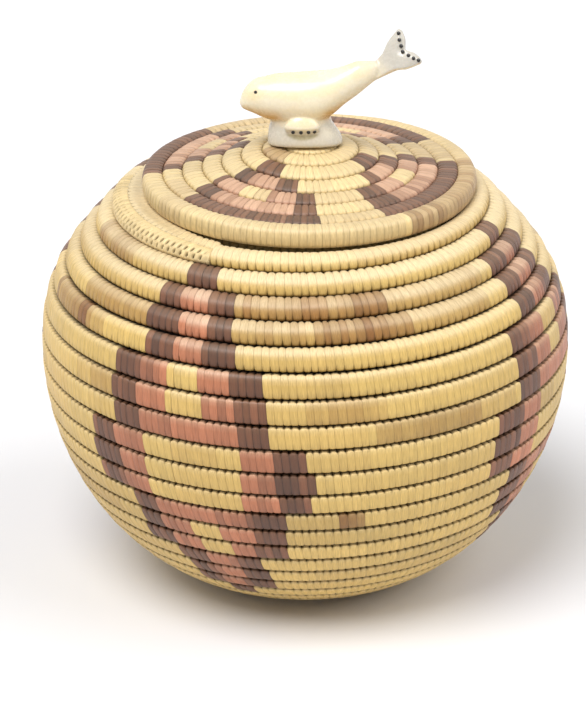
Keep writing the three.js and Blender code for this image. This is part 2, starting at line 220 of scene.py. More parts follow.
def grass_material():
    """Split grass wrapped round the coil. The map's U counts stitches, and V runs round the coil."""
    material, nodes, surface = new_material("stitched_grass")
    # The dye brings each stitch's colour with painted shade and painted highlight, and its alpha the sheen the
    # painted shade leaves
    dyed = nodes.add("Attribute", attribute_name="dye").outputs
    dye, sheen = dyed["Color"], dyed["Alpha"]
    spot = nodes.add("UVMap", uv_map="stitches").outputs[0]
    across, along, _ = nodes.add("SeparateXYZ", {"Vector": spot}).outputs
    # Fibres run along each stitch: narrow across it and long round the coil
    fine, broad = (nodes.add("CombineXYZ", {
        "X": nodes.times(across, per_stitch),
        "Y": nodes.times(along, per_length)}).outputs[0]
        for per_stitch, per_length in ((17.0, 0.4), (3.1, 0.22)))
    fibre = nodes.noise(fine, scale=1.0, detail=2.0, roughness=0.55)
    streak = nodes.noise(broad, scale=1.0, detail=1.0, roughness=0.5)
    # Painted shade: a thin dark line where two stitches meet, and a fainter one where a strand is creased
    place = nodes.math("FRACT", across)
    edge = nodes.math("ABSOLUTE", nodes.minus(place, 0.5))
    wander = nodes.between(streak, 0.3, 0.7, 0.465, 0.492)
    seam = nodes.times(nodes.between(edge, wander, 0.5), nodes.between(streak, 0.25, 0.6, 0.35, 1.0))
    crease_spot = nodes.add("CombineXYZ", {"X": nodes.math("FLOOR", across), "Y": 0.5})
    chance = nodes.add("TexWhiteNoise", {"Vector": crease_spot.outputs[0]},
                       noise_dimensions="2D").outputs["Value"]
    crease_at = nodes.math("ADD", nodes.times(chance, 0.4), 0.3)
    away = nodes.math("ABSOLUTE", nodes.minus(place, crease_at))
    crease = nodes.times(nodes.between(away, 0.045, 0.0), nodes.between(chance, 0.35, 0.75))
    tone = nodes.between(fibre, 0.28, 0.72, 0.77, 1.13)
    tone = nodes.times(tone, nodes.between(streak, 0.25, 0.75, 0.93, 1.05))
    for line, darkening in ((seam, 0.32), (crease, 0.16)):
        tone = nodes.times(tone, nodes.minus(1.0, nodes.times(line, darkening)))
    # Darker fibres are browner too
    green, blue = (nodes.math("POWER", tone, browner) for browner in (1.1, 1.35))
    shade = nodes.add("CombineColor", {"Red": tone, "Green": green, "Blue": blue})
    colour = nodes.mix(1.0, dye, shade.outputs[0], "MULTIPLY")
    height = nodes.minus(nodes.times(fibre, 0.5), seam)
    height = nodes.minus(height, nodes.times(crease, 0.4))
    nodes.fill(surface, {
        "Base Color": handled(nodes, colour, nodes.place(), scale=60.0, amount=0.1)[0],
        "Roughness": nodes.between(fibre, 0.2, 0.8, 0.56, 0.42),
        "Specular IOR Level": nodes.times(sheen, 0.65),
        "Normal": nodes.bump(height, 0.9, 0.12), "Sheen Weight": 0.05, "Sheen Roughness": 0.4})
    return material


IVORY_PALE = linear(237, 229, 207)
IVORY_WARM = linear(236, 214, 160)
IVORY_GREY = linear(193, 187, 175)
# Painted shade: brown where the body turns under, and olive under the flippers' lips
IVORY_UNDER_SHADE = linear(203, 158, 92)
IVORY_LIP_SHADE = linear(166, 150, 96)


def ivory_material():
    """Polished ivory. Its tones say where the warm core, the brown painted shade and the olive painted shade
    show.
    """
    material, nodes, surface = new_material("polished_ivory")
    spot = nodes.place()
    stretched = nodes.add("Mapping", {"Vector": spot, "Scale": (0.4, 1.0, 1.25)}).outputs[0]
    clouds = nodes.noise(stretched, 150.0, 3.0, 0.6)
    tones = nodes.add("Attribute", attribute_name="tones").outputs["Color"]
    kinds = nodes.add("SeparateColor", {"Color": tones})
    core, deep, lip_shade = (kinds.outputs[i] for i in range(3))
    warm = nodes.math("ADD", nodes.times(nodes.between(clouds, 0.4, 0.68), 0.5), 0.25)
    base = nodes.mix(core, (*IVORY_GREY, 1), (*IVORY_PALE, 1))
    colour = nodes.mix(nodes.times(warm, core), base, (*IVORY_WARM, 1))
    uneven = nodes.between(clouds, 0.3, 0.7, 0.75, 1.0)
    # Painted shade: brown under the body, olive under the flippers' lips
    colour = nodes.mix(nodes.times(deep, uneven), colour, (*IVORY_UNDER_SHADE, 1))
    colour = nodes.mix(nodes.times(lip_shade, uneven), colour, (*IVORY_LIP_SHADE, 1))
    colour, cloud = handled(nodes, colour, spot, scale=900.0, amount=0.03)
    nodes.fill(surface, {
        "Base Color": colour, "Roughness": nodes.between(cloud, 0.3, 0.7, 0.2, 0.34),
        "Normal": nodes.bump(cloud, 0.25, 0.05),
        "Subsurface Weight": 0.15, "Subsurface Radius": (0.0016, 0.0011, 0.0006), "Subsurface Scale": 1.0,
        "Coat Weight": 0.25, "Coat Roughness": 0.12})
    return material


def plain_material(name, colour, roughness, scale, amount):
    """One colour with fine tone changes, and a gloss and a bump that follow them."""
    material, nodes, surface = new_material(name)
    tinted, cloud = handled(nodes, (*colour, 1), nodes.place(), scale, amount)
    rough = nodes.between(cloud, 0.3, 0.7, roughness * 0.85, roughness * 1.15)
    nodes.fill(surface, {"Base Color": tinted, "Roughness": rough, "Normal": nodes.bump(cloud, 0.3, 0.05)})
    return material


FINISHES = {
    "grass": ("stitched", grass_material()),
    "ivory": ("polished", ivory_material()),
    "inlay": ("inlay", plain_material("black_inlay", linear(24, 21, 20), 0.3, scale=3000.0, amount=0.3)),
}
PEG_WOOD = plain_material("peg_wood", linear(138, 106, 69), 0.6, scale=700.0, amount=0.5)


# ---- the coil's path
# Every row starts and ends at the tail's angle. A half is half the coil's thickness, a pitch the width of one
# row, and a stitch the mean width of one stitch
TAIL_ANGLE = -29.0
HALF = 3.4
LID_HALF = 3.1
ROW_LAP = 0.06
LOWER_ROWS = 16
UPPER_ROWS = 10
UPPER_PITCH_RATIO = 1.13
LINE_BEYOND_RIM = 2.6
LID_RADIUS = 44.2
LID_EDGE_HEIGHT = 117.5
LID_CROWN = 8.7
LID_PITCH = 5.85
LID_CENTRE_EXTRA = 1.0
LID_TAIL_END = 0.7
RIM_ROW = 25
STITCH = 2.15
LID_STITCH = 1.95


def cubic(a, b, c, d, steps=160):
    """A curve from a to d that sets out towards b and comes in from c."""
    t = np.linspace(0, 1, steps)[:, None]
    a, b, c, d = (np.array(p, float) for p in (a, b, c, d))
    return (1 - t) ** 3 * a + 3 * (1 - t) ** 2 * t * b + 3 * (1 - t) * t ** 2 * c + t ** 3 * d


def smooth_through(points, steps=60):
    """A smooth line through given points."""
    p = np.array(points, float)
    p = np.vstack([p[:1], p, p[-1:]])
    parts = []
    for i in range(1, len(p) - 2):
        before, a, b, after = p[i - 1], p[i], p[i + 1], p[i + 2]
        parts.append(cubic(a, a + (b - before) / 6, b - (after - a) / 6, b, steps)[:-1])
    return np.vstack([*parts, p[-1:]])


class CentreLine:
    """A line in the (radius, height) plane, and the points off it. Outside is 1 where that is on the right of
    the line's way, and else -1."""

    def __init__(self, points, outside):
        step = np.hypot(*np.diff(points, axis=0).T)
        self.points = points = points[np.r_[True, step > 1e-6]]
        self.lengths = np.r_[0, np.cumsum(np.hypot(*np.diff(points, axis=0).T))]
        self.outside = outside

    def place(self, length):
        return tuple(np.interp(length, self.lengths, axis) for axis in self.points.T)

    def normal(self, length):
        probe = 0.7
        low = np.maximum(length - probe, 0)
        high = np.minimum(length + probe, self.lengths[-1])
        (r0, z0), (r1, z1) = self.place(low), self.place(high)
        size = np.hypot(r1 - r0, z1 - z0)
        return (z1 - z0) / size * self.outside, -(r1 - r0) / size * self.outside

    def offset(self, length, out):
        r, z = self.place(length)
        nr, nz = self.normal(length)
        return r + nr * out, z + nz * out


def wall_line():
    """The middle of the wall's thickness, from the centre of the base to the rim."""
    base, widest, shoulder, rim = np.array([(20.5, 3.4), (71.6, 69.0), (51.8, 110.2), (43.9, 113.2)])
    bowl_out, bowl_up = widest - base
    shoulder_in, shoulder_up = widest[0] - shoulder[0], shoulder[1] - widest[1]
    brim_in = shoulder[0] - rim[0]
    below_shoulder = np.array([shoulder_in * 0.59, -shoulder_up * 0.34])
    onward = below_shoulder / np.linalg.norm(below_shoulder) * -brim_in * 0.35
    bowl = cubic(base, base + (bowl_out * 0.49, 0), widest - (0, bowl_up * 0.553), widest)
    upper = cubic(widest, widest + (0, shoulder_up * 0.532), shoulder + below_shoulder, shoulder)
    brim = cubic(shoulder, shoulder + onward, rim + (brim_in * 0.35, 0), rim)
    return CentreLine(np.vstack([[(0, base[1])], bowl, upper[1:], brim[1:]]), 1)


def lid_line():
    """The middle of the lid's thickness, from its centre to a little past its edge."""
    radii = np.array([0, 0.29, 0.55, 0.81, 1, 1.1]) * LID_RADIUS
    heights = LID_EDGE_HEIGHT + np.array([1, 0.73, 0.3, 0.04, 0, 0]) * LID_CROWN
    return CentreLine(smooth_through(np.stack([radii, heights], 1)), -1)


WALL = wall_line()
LID = lid_line()
LOWER_PITCH = (WALL.lengths[-1] - LINE_BEYOND_RIM) / (LOWER_ROWS + UPPER_ROWS * UPPER_PITCH_RATIO)
UPPER_PITCH = LOWER_PITCH * UPPER_PITCH_RATIO


def wall_edge(turns):
    """How far along the wall's line the coil's lower edge lies after so many turns."""
    return np.minimum(turns, LOWER_ROWS) * LOWER_PITCH + np.maximum(turns - LOWER_ROWS, 0) * UPPER_PITCH


def lid_edge(turns):
    return LID_CENTRE_EXTRA * np.clip(turns, 0, 1) + np.maximum(turns, 0) * LID_PITCH


def open_work_width(share):
    """The row before the tail gives up part of its width to it."""
    return 1 - 1.5 * np.maximum(0, share - 0.7)


def tapering(share, first, thinning, taper_from, tip):
    """The width of a row that thins along its turn and tapers away at its end."""
    slim = first - thinning * np.minimum(share, taper_from)
    left = np.maximum(0, (share - taper_from) / (1 - taper_from))
    return slim * (1 - left) + tip * left


def tail_width(share):
    return tapering(share, first=0.95, thinning=0.6, taper_from=0.93, tip=0.08)


def lid_tail_width(share):
    return tapering(share / LID_TAIL_END, first=1.0, thinning=0.32 * LID_TAIL_END, taper_from=0.7, tip=0.1)


# ---- the dyed pattern
NATURAL = linear(217, 182, 102)
BROWN = linear(104, 62, 34)
PINK = linear(184, 114, 78)
TAN = linear(152, 108, 46)
# A pale straw that is painted over the tops of rows as a highlight
PAINTED_HIGHLIGHT_COLOUR = linear(252, 238, 206)
DYES = {"B": BROWN, "P": PINK, "N": NATURAL}

# One stepped diamond of the wall, from its top row down. It comes four times, not quite evenly spaced: each
# middle is given for the top row, the widest rows and the lowest row
DIAMOND = ("B BPB BPB BPB BPNPB BPNPB BPPPB BPNNNPB BPNNNPB BPNNNPB "
           "BPPPB BPNPB BPNPB BPB BPB BPB B").split()
DIAMOND_TOP_ROW = 24
DIAMOND_STEPS = (0, 7, 16)
DIAMOND_MIDDLES = [(-29.3, -25.2, -19.9), (67.3, 71.6, 68.5), (155.0, 159.0, 164.0), (243.0, 247.0, 252.0)]
BLOCK_ANGLE = 7.45
# The pattern's angles count on from here, so that no part of it lies across the cut
LABEL_CUT = -78.0

# The lid's four fans: each row's colours, and for each fan the angles where they start and the last one ends
FANS = {
    2: ("B", [(-49, -23), (59, 80), (146, 168), (236, 258)]),
    3: ("BPB", [(-57, -42, -21, -6), (46, 56, 78, 94), (135, 146, 168, 180), (222, 232, 250, 262)]),
    4: ("BPNPB", [(-64, -55, -38, -20, -5, 6), (34, 46, 62, 79, 95, 105),
                  (123, 134, 150, 166, 182, 192), (213, 220, 231, 244, 256, 264)]),
    5: ("BPB", [(-60, -49, -5, 6), (33, 45, 92, 102), (122, 133, 180, 190), (215, 225, 265, 273)]),
    6: ("B", [(-56, 6), (32, 99), (122, 186), (221, 275)]),
}

# Stretches where the grass is browner: the row, the angles, and how brown
WALL_TANS = [
    (24, -80, -54, 0.8), (23, -17.5, 22, 1.0), (23, 22, 52, 0.55),
    (22, -17.5, 2, 0.65), (22, 2, 14, 0.95), (22, 14, 25, 1.1), (22, 25, 50, 0.5),
    (22, -65, -39, 0.7), (21, -78, -57, 0.85), (21, -62, -59, 1.2), (21, -57, -52, 0.4),
    (20, -9, 10, 0.2), (19, -52, -45, 0.55), (19, 0, 15, 0.55), (18, 14, 40, 0.6), (18, 40, 50, 0.25),
    (14, 8.4, 13.2, 1.0), (21, 100, 130, 0.7), (19, 170, 205, 0.6), (23, 120, 150, 0.7),
    (16, 200, 240, 0.5), (12, 95, 130, 0.4), (20, 225, 245, 0.7),
]
LID_TANS = [
    (1, -75, -28, 0.9), (6, -75, -56, 0.5), (6, 6, 32, 0.35), (7, 38, 100, 0.9), (7, -62, -48, 0.4),
    (5, 102, 128, 0.5), (4, 106, 126, 0.4), (3, 100, 140, 0.3), (6, 100, 125, 0.5), (6, 195, 221, 0.6),
    (2, 95, 140, 0.35), (5, 192, 214, 0.4),
]


def labelled(turns):
    """The row and the angle of each place along the coil."""
    angle = TAIL_ANGLE + 360 * (turns - np.floor(turns))
    row = np.floor(turns).astype(int)
    before = angle > LABEL_CUT + 360
    return row + before, np.where(before, angle - 360, angle)


def undyed(row, angle):
    return ""


def diamond_dye(row, angle):
    step = DIAMOND_TOP_ROW - row
    if not 0 <= step < len(DIAMOND):
        return ""
    blocks = DIAMOND[step]
    middles = [np.interp(step, DIAMOND_STEPS, places) for places in DIAMOND_MIDDLES]
    away = min(((angle - middle + 180) % 360 - 180 for middle in middles), key=abs)
    block = math.floor(away / BLOCK_ANGLE + len(blocks) / 2)
    return blocks[block] if 0 <= block < len(blocks) else ""


def fan_dye(row, angle):
    colours, fans = FANS.get(row, ("", []))
    for starts in fans:
        for dye, start, end in zip(colours, starts, starts[1:]):
            if start <= angle < end:
                return dye
    return ""


def strand_tones(count, rng):
    """One strand of grass makes several stitches, so its tone holds for a while and then changes."""
    tones = np.ones(count)
    warmth = np.zeros(count)
    start = 0
    while start < count:
        length = int(rng.integers(5, 20))
        tones[start:start + length] = rng.normal(1.0, 0.045)
        warmth[start:start + length] = max(0.0, rng.normal(0.05, 0.11))
        start += length
    return tones * rng.normal(1.0, 0.03, count), warmth


def stitch_colours(middles, dye_at, tans, rng):
    """The colour of each stitch. Plain ones are browner in the tan stretches, and dyed ones vary more."""
    rows, angles = labelled(middles)
    tones, warmth = strand_tones(len(middles), rng)
    colours = np.ones((len(middles), 3))
    for i, (row, angle) in enumerate(zip(rows, angles)):
        dye = dye_at(row, angle)
        colour = DYES.get(dye, NATURAL)
        if dye in ("", "N"):
            tan = warmth[i]
            for tan_row, start, end, amount in tans:
                if tan_row == row and start <= angle < end:
                    tan = max(tan, amount * rng.uniform(0.75, 1.1))
            colour = mixed(colour, TAN, tan)
        elif dye == "B":
            colour = mixed(colour, PINK, max(0.0, rng.normal(0.0, 0.12)))
        else:
            colour = mixed(colour, BROWN, max(0.0, rng.normal(0.08, 0.16)))
        spread = 1.0 if dye in ("", "N") else 1.6
        colours[i] = colour * (1 + (tones[i] - 1) * spread)
    return colours


# ---- stitched rows
# The strips of one stitch, from its left seam on
STITCH_STEPS = np.array([0.0, 0.09, 0.3, 0.7, 0.91])
# How deeply a stitch is cut at its ends, how deep the seam beside it is, and how far its ends draw back
NOTCH_DEPTH = 0.62
SEAM_DEPTH = 0.04
SCALLOP = 0.6
LEAN = 0.1
# Painted shade: how much it darkens the cuts, the inside of the basket, and the space between two rows, and
# takes their sheen away
GROOVE_SHADE = 0.85
INSIDE_SHADE = 0.12
BETWEEN_SHADE = 0.93
# A profile's points go from the row's lower edge, -1, to its upper edge, 1, and from the inside, -1, to the
# outside, 1. These lie on the inside, and the first and last meet the next rows
MEET = 0.44
INSIDE = [(1.0, -MEET), (0.55, -0.88), (-0.55, -0.88), (-1.0, -MEET)]
# How deeply stitches are cut at a row's lower and upper edge, how far the upper one keeps clear of the next
# row, and from where on it is cut
PLAIN_EDGES = (1.0, 0.6, 0.03, 0.76)
LID_EDGES = (0.8, 0.35, 0.03, 0.76)
# Painted highlight: what lies above a row's ridge is painted paler, the shoulder most
LID_RIDGE = -1.0
SHOULDER_HIGHLIGHT = 0.35


def by_rise(tilt, rises, values):
    """A value that follows how far a row's face looks up."""
    return float(np.interp(math.sin(tilt), rises, values))


def wall_ridge(tilt):
    """Where the ridge of a row lies: near its top low on the wall, and below its middle on the shoulder."""
    return by_rise(tilt, [-0.5, 0, 0.3, 0.5, 0.66, 0.8, 1], [0.8, 0.7, 0.38, 0.1, -0.2, -0.5, -0.5])


def wall_edges(tilt):
    """The stitches of the lower wall end in round tops, those of the shoulder in narrow cuts at their feet."""
    lower_cut = by_rise(tilt, [0.1, 0.55], [0.2, 0.65])
    upper_cut = by_rise(tilt, [0.35, 0.75], [1.0, 0.45])
    clear = by_rise(tilt, [-0.8, -0.4, 0.3, 0.75], [0.2, 0.48, 0.46, 0.03])
    cut_from = by_rise(tilt, [-0.5, -0.1, 0.2], [0.36, 0.52, 0.7])
    return lower_cut, upper_cut, clear, cut_from


def wall_out(s, tilt):
    """How far out a wall row stands at s. Its face hangs nearly upright up to a ridge and slopes back above.
    Near the foot the rows lie flush."""
    ridge = wall_ridge(tilt)
    flush = min(1.0, max(0.0, (-math.sin(tilt) - 0.55) / 0.3))
    fall = math.tan(max(0.0, 0.8 * tilt - 0.17))
    below = (ridge - s + np.hypot(ridge - s, 0.34)) / 2
    above = np.maximum(s - ridge, 0) / (1 - ridge)
    foot = np.clip((-0.84 - s) / 0.16, 0, 1) ** 2 * (0.16 - 0.06 * flush)
    face = np.maximum(1 - (0.03 + fall) * below - foot, 0.3)
    drop = by_rise(tilt, [-0.85, -0.55, 0.1, 0.55], [0.16, 0.24, 0.28, 0.6])
    return face - above ** 1.5 * drop


def with_inside(s, out):
    return np.vstack([np.stack([s, out], 1), INSIDE])


def wall_profile(tilt):
    ridge = wall_ridge(tilt)
    lower = [-1 + (ridge + 1) * x for x in (0, 0.04, 0.12, 0.4, 0.7, 0.9)]
    upper = [ridge + (1 - ridge) * x for x in (0.08, 0.28, 0.5, 0.7, 0.88, 1.0)]
    s = np.array(lower + upper)
    return with_inside(s, wall_out(s, tilt))


def lid_profile(meet=0.78, power=6.0):
    """A row of the lid, flat across and rounded down to its neighbours."""
    s = np.array([-1.0, -0.96, -0.88, -0.65, -0.25, 0.25, 0.65, 0.88, 0.96, 1.0])
    return with_inside(s, 1 - np.abs(s) ** power * (1 - meet))


def lid_rim_profile():
    """The lid's outermost row: its outer side is free and rounds over."""
    face = [(-1.0, 0.74), (-0.95, 0.84), (-0.85, 0.92), (-0.55, 0.98), (-0.05, 1.0),
            (0.42, 0.97), (0.74, 0.84), (0.93, 0.52), (1.0, 0.05), (0.95, -0.42)]
    return np.array(face + [(0.72, -0.8), (0.3, -0.95), (-0.55, -0.88), (-1.0, -MEET)])


def coil_grid(name, columns, around):
    """A sheet whose columns go along the coil and whose lines go round it."""
    bm = bmesh.new()
    bmesh.ops.create_grid(bm, x_segments=columns, y_segments=around, size=1.0)
    mesh = mesh_from(bm, name)
    places = points_of(mesh)
    column = np.rint((places[:, 0] + 1) / 2 * columns).astype(int)
    line = np.rint((places[:, 1] + 1) / 2 * around).astype(int)
    return mesh, column, line


def wind_up(mesh, radius, height, angle, uv, dye):
    """Sets each point's place and each corner's map and colour, then closes the sheet into a coil. The dye
    holds the colour with its painted shade and painted highlight, and its alpha says how much sheen the painted
    shade leaves."""
    co = np.stack([radius * np.sin(angle), -radius * np.cos(angle), height], 1) * MM
    mesh.vertices.foreach_set("co", co.ravel())
    mesh.uv_layers.new(name="stitches").data.foreach_set("uv", uv.ravel())
    colours = mesh.attributes.new("dye", "FLOAT_COLOR", "CORNER")
    colours.data.foreach_set("color", np.clip(dye, 0, 1).ravel())
    bm = bmesh.new()
    bm.from_mesh(mesh)
    bmesh.ops.remove_doubles(bm, verts=bm.verts, dist=1e-7)
    rim = [e for e in bm.edges if e.is_boundary]
    bmesh.ops.holes_fill(bm, edges=rim, sides=0)
    bmesh.ops.recalc_face_normals(bm, faces=bm.faces)
    bm.to_mesh(mesh)
    bm.free()
    return mesh


def stitch_relief(stitch, within, s, edges, notch, rng):
    """How far each point stands out and draws back, how near it is to a seam, and how deep in a cut. A stitch
    is sunk where it meets its neighbours, most at the row's edges."""
    lower_cut, upper_cut, clear, cut_from = edges
    stitches = stitch.max() + 1
    near = 1 - np.sqrt(np.maximum(0, 1 - (2 * within - 1) ** 2))
    rise = np.clip((s - cut_from) / (0.96 - cut_from), 0, 1)
    cut = np.where(s < 0, lower_cut * rounded((-s - 0.5) / 0.46) * near ** 1.1,
                   upper_cut * rounded(rise) * np.abs(2 * within - 1) ** (1.4 + 3 * (1 - rise)))
    meeting = stitch + (within > 0.5)
    uneven = np.clip(rng.normal(1.0, 0.25, stitches + 1), 0.4, 1.6)[meeting]
    seam = SEAM_DEPTH * np.clip(rng.normal(0.9, 0.6, stitches + 1), 0.1, 2.2)[meeting]
    lift = rng.normal(0, 0.02, stitches)[stitch] * (1 - near)
    lift = lift + rng.normal(0.03, 0.04, stitches)[stitch] * (within - 0.5) * (within > 0) * (within < 1)
    sunk = near * seam + (NOTCH_DEPTH - SEAM_DEPTH) * cut * notch * uneven
    inset = SCALLOP * notch * cut * uneven + clear * rounded((s - 0.76) / 0.2)
    return lift - sunk, inset, near, cut


def coil_mesh(name, section, profile, turns, stitches, dye_at, tans, seed, notch=1.0, lean=0.0, later=None,
              later_share=None, ridge=None, bleach=1.0, edges=PLAIN_EDGES):
    """A stretch of stitched coil. section(at, s, out, outward, inset) gives each point's radius and height from
    its turn, its place on the profile, how far it stands off that, and how far it draws back from the edge. The
    profile may change to a later one along the row."""
    rng = np.random.default_rng(seed)
    steps = len(STITCH_STEPS)
    columns = stitches * steps
    mesh, column, line = coil_grid(name, columns, len(profile))
    ring = line % len(profile)
    face = ring < len(profile) - len(INSIDE)
    starts = np.r_[0, np.cumsum(np.clip(rng.normal(1.0, 0.1, stitches), 0.72, 1.28))]
    starts = starts / starts[-1] * stitches
    stitch = np.minimum(column // steps, stitches - 1)
    within = np.where(column == columns, 1.0, STITCH_STEPS[column % steps])
    first, last = turns
    at = first + (last - first) * (starts[stitch] + within * (starts[stitch + 1] - starts[stitch])) / stitches
    shape = profile[ring]
    if later is not None:
        weight = later_share(at)[:, None]
        shape = shape * (1 - weight) + later[ring] * weight
    s, out = shape.T
    relief, inset, near, cut = stitch_relief(stitch, within, s, edges, notch, rng)
    radius, height = section(at, s, out, np.where(face, 1, -1) * relief, inset * face)
    angle = np.radians(TAIL_ANGLE) + math.tau * at - lean * s * HALF / np.maximum(radius, 10)

    # Each stitch has one colour, with painted shade in its cuts, beside its seams and at the row's edges, and a
    # painted highlight above the ridge. Dark dyes differ most
    vertex = corners_of(mesh)
    low = np.minimum.reduceat(column[vertex], np.arange(0, len(vertex), 4))
    owner = np.repeat(np.minimum(low // steps, stitches - 1), 4)
    middles = first + (last - first) * (starts[:-1] + starts[1:]) / 2 / stitches
    colours = stitch_colours(middles, dye_at, tans, rng)
    dark = 1 - rounded((colours[:, :1] - 0.12) / 0.35)
    colours = colours * np.clip(rng.normal(1.0, 0.15, (stitches, 1)), 0.7, 1.35) ** dark
    lower_cut, _, clear, _ = edges
    # Painted shadow: a dark line along the row's lower edge, and one under the row above
    painted_seam_shadow = 0.5 * rounded((-s - 0.92) / 0.08) + (0.15 + clear) * rounded((s - 0.93) / 0.07)
    painted_groove_shade = np.where(face, np.maximum(GROOVE_SHADE * cut, painted_seam_shadow) * min(1.0, notch),
                      np.where(np.abs(s) < 0.9, INSIDE_SHADE, BETWEEN_SHADE))[vertex][:, None]
    # Painted shade beside each seam, deeper in dark dyes and where the lower edge is cut
    dye = colours[owner] * (1 - near[vertex][:, None] * (0.03 + 0.16 * lower_cut + 0.41 * dark[owner]))
    # Painted highlight: above the ridge the colour is painted paler, most on plain grass
    if ridge is not None:
        up = -s if name.startswith("lid") else s
        above = rounded((up - (ridge(at) if callable(ridge) else ridge) + 0.45) / 0.85)[vertex][:, None]
        plain = rounded((dye[:, :1] - 0.1) / 0.5)
        dye = dye + (PAINTED_HIGHLIGHT_COLOUR - dye) * (0.04 + 0.34 * plain) * above * bleach
    # The painted shade darkens the colour, and in the alpha it takes away the sheen
    dye = np.concatenate([dye * (1 - painted_groove_shade), 1 - 1.1 * painted_groove_shade], 1)
    along = column // steps + STITCH_STEPS[column % steps]
    uv = np.stack([along[vertex], line[vertex] * 1.2 + seed % 97], 1)
    return wind_up(mesh, radius, height, angle, uv, dye)


def across(inner, outer, s, inset, most=0.5):
    """The place s between a row's edges, drawn back from the nearer edge by its inset."""
    reach = (outer - inner) / 2
    return (inner + outer) / 2 + s * reach - np.sign(s) * np.minimum(inset, reach * most)


def row_section(row, line, edge, half, width, slims=True):
    """Where the points of a row lie: s runs across the row, and out is square to the wall."""
    def section(at, s, out, outward, inset):
        size = width(np.clip(at - row, 0, 1))
        inner = edge(at) - ROW_LAP
        outer = edge(at) + (edge(at + 1) - edge(at)) * size + ROW_LAP
        thick = half * (1 + size) / 2 if slims else half
        return line.offset(np.maximum(across(inner, outer, s, inset), 0.02), thick * out + outward)
    return section


def carried_out(up, share):
    """The open work and the tail beside it share one face, that of the row which they run into."""
    both = (open_work_width(share) + tail_width(share)) * UPPER_PITCH
    return wall_out(np.clip(2 * up / both - 1, -1, 1), wall_tilt(RIM_ROW))


def rim_section(at, s, out, outward, inset):
    """The last row's section, whose end takes over part of the width of the row before it."""
    share = np.clip(at - RIM_ROW, 0, 1)
    inner = wall_edge(at) - (1 - open_work_width(share)) * UPPER_PITCH - ROW_LAP
    outer = wall_edge(at) + tail_width(share) * UPPER_PITCH + ROW_LAP
    length = across(inner, outer, s, inset)
    taken = rounded((at - RIM_ROW - 0.6) / 0.25)
    carried = carried_out(length - wall_edge(at - 1), share)
    out = np.where(out > 0, out * (1 - taken) + carried * taken, out)
    return WALL.offset(length, HALF * out + outward)


def stitches_in(line, edge, first, last, spacing):
    length = line.place(edge((first + last) / 2 + 0.5))[0] * math.tau * (last - first)
    return max(4, round(float(length) / spacing))


def wall_tilt(turns):
    """How far a row's face looks up, in radians."""
    _, up = WALL.normal(wall_edge(turns + 0.5))
    return math.asin(float(up))


# The open work at the left of the shoulder: slanted strands with small holes between them
OPEN_WORK_START = 24.79
OPEN_WORK_RADIUS = 52.0
OPEN_WORK_COLUMN = 0.24
HOLE_SPACING = 2.2
HOLE_LEAN = 0.45
HOLE_LEVELS = (0.95, 2.15, 3.35, 4.55)
HOLE_WIDE = 0.38
HOLE_HIGH = 0.5
HOLE_DEPTH = 0.85


def hole_share(along, up, wide):
    """1 in the middle of a hole, 0 on the strands. Up is measured from the row's lower edge."""
    deep = np.zeros_like(along)
    for i, level in enumerate(HOLE_LEVELS):
        moved = along - HOLE_LEAN * (up - level) + HOLE_SPACING / 2 * (i % 2 + 1)
        off = moved % HOLE_SPACING - HOLE_SPACING / 2
        distance = (off / HOLE_WIDE) ** 2 + ((up - level) / HOLE_HIGH) ** 2
        deep = np.maximum(deep, np.clip((1.5 - distance) / 1.1, 0, 1) * np.clip(wide - 0.9 - level, 0, 1))
    return deep


def open_work_mesh(name, section, seed):
    """The end of the row before the tail: slanted strands that go over into the next row's face."""
    rng = np.random.default_rng(seed)
    turns = RIM_ROW - OPEN_WORK_START
    length = math.tau * OPEN_WORK_RADIUS * turns
    columns = round(length / OPEN_WORK_COLUMN)
    s_face = np.linspace(-1, 1, 24)
    profile = with_inside(s_face, wall_out(s_face, wall_tilt(24.9)))
    mesh, column, line = coil_grid(name, columns, len(profile))
    ring = line % len(profile)
    face = ring < len(s_face)
    place, before = profile[ring].T
    share = column / columns
    at = OPEN_WORK_START + turns * share
    wide = UPPER_PITCH * open_work_width(at - 24)
    up = (place + 1) / 2 * wide
    weight = rounded(share / 0.3) * face
    out = before * (1 - weight) + carried_out(up, at - 24) * weight
    along = share * length
    deep = hole_share(along, up, wide) * rounded(share / 0.08) * rounded((1 - share) / 0.05) * face
    strand = (along - HOLE_LEAN * up) / (HOLE_SPACING / 2)
    ripple = np.cos(math.tau * strand)
    radius, height = section(at, place, out, 0.07 * ripple * face - HOLE_DEPTH * deep, np.zeros_like(at))
    angle = np.radians(TAIL_ANGLE) + math.tau * at
    vertex = corners_of(mesh)
    tones = rng.normal(1.0, 0.07, 400)[np.floor(strand).astype(int) % 400]
    # Painted shade in the holes and along the strands' lower edge, and the strands painted paler as a
    # highlight; the alpha takes the sheen out of the holes
    edge_shade = 1 - 0.35 * rounded((-place - 0.85) / 0.15) * (0.5 - 0.5 * ripple)
    shade = tones * (1 - 0.85 * deep) * edge_shade
    strands = mixed(NATURAL, PAINTED_HIGHLIGHT_COLOUR, 0.35) * shade[vertex][:, None]
    dye = np.concatenate([strands, 1 - deep[vertex][:, None]], 1)
    uv = np.stack([strand[vertex], line[vertex] * 0.3], 1)
    return wind_up(mesh, radius, height, angle, uv, dye)


def joined(name, meshes):
    bm = bmesh.new()
    for mesh in meshes:
        bm.from_mesh(mesh)
    return mesh_from(bm, name)


def wall_mesh(name, row, section, end, **rest):
    """A row of the body, whose stitches follow the tilt of the wall."""
    tilt = wall_tilt(row)
    count = stitches_in(WALL, wall_edge, row, end, STITCH)
    return coil_mesh(name, section, wall_profile(tilt), (row, end), count, diamond_dye, WALL_TANS, 100 + row,
                     lean=LEAN, edges=wall_edges(tilt), **rest)


